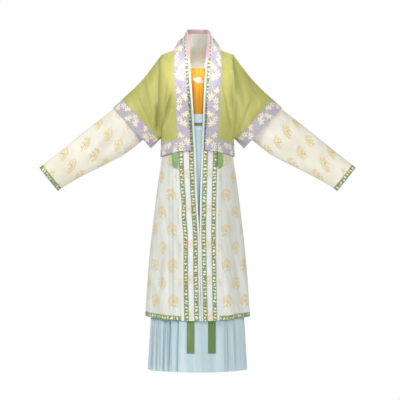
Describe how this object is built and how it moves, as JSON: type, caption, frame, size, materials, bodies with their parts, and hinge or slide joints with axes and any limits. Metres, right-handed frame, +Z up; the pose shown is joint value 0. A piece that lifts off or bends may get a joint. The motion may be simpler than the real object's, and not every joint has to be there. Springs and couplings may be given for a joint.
{
  "type": "song-style hanfu set",
  "caption": "Worn, hollow hanfu set: long light robe with patterned bands under a short green half-sleeved jacket, with a camisole and a pleated wrap skirt.",
  "frame": {"origin": "level with the shoulder seams at the neck, in the middle between the shoulders and between front and back", "axes": "+Z up out of the neck, -Y to the front, -X to the left in the front view"},
  "size_m": [1.2818, 0.33, 1.3803],
  "materials": {
    "green_satin": "green jacquard satin with a faint sheen",
    "lilac_band": "lilac jacquard band with white flowers and green leaves",
    "green_tie": "green woven tie",
    "robe_cloth": "sheer off-white cloth with gold sprigs",
    "white_band": "white woven band",
    "foil_trim": "gold foil strip with green edges",
    "pink_guard": "plain pink cloth",
    "orange_cloth": "orange cloth",
    "waist_cloth": "pale blue woven waistband",
    "green_ribbon": "green woven ribbon",
    "skirt_cloth": "pale blue-green pleated cloth"
  },
  "bodies": {
    "root": {"camisole": "orange_cloth", "jacket_back": "green_satin", "jacket_front_left": "green_satin", "jacket_front_right": "green_satin", "jacket_sleeve_left": "green_satin", "jacket_sleeve_right": "green_satin", "jacket_collar_left": "lilac_band", "jacket_collar_right": "lilac_band", "jacket_cuff_left": "lilac_band", "jacket_cuff_right": "lilac_band", "jacket_hem_back": "lilac_band", "jacket_hem_front_left": "lilac_band", "jacket_hem_front_right": "lilac_band", "jacket_tie_left": "green_tie", "jacket_tie_right": "green_tie", "robe_back_left": "robe_cloth", "robe_back_right": "robe_cloth", "robe_front_left": "robe_cloth", "robe_front_right": "robe_cloth", "robe_sleeve_left": "robe_cloth", "robe_sleeve_right": "robe_cloth", "robe_band_left": "white_band", "robe_band_right": "white_band", "robe_cuff_left": "foil_trim", "robe_cuff_right": "foil_trim", "robe_hem_back": "foil_trim", "robe_hem_front_left": "foil_trim", "robe_hem_front_right": "foil_trim", "robe_trim_inner_left": "foil_trim", "robe_trim_inner_right": "foil_trim", "robe_trim_outer_left": "foil_trim", "robe_trim_outer_right": "foil_trim", "robe_guard_left": "pink_guard", "robe_guard_right": "pink_guard", "skirt_waistband": "waist_cloth", "skirt_belt": "green_ribbon", "skirt_front_panel": "skirt_cloth", "skirt_pleats_left": "skirt_cloth", "skirt_pleats_right": "skirt_cloth", "skirt_ribbon_left": "green_ribbon", "skirt_ribbon_right": "green_ribbon"}
  },
  "joints": []
}
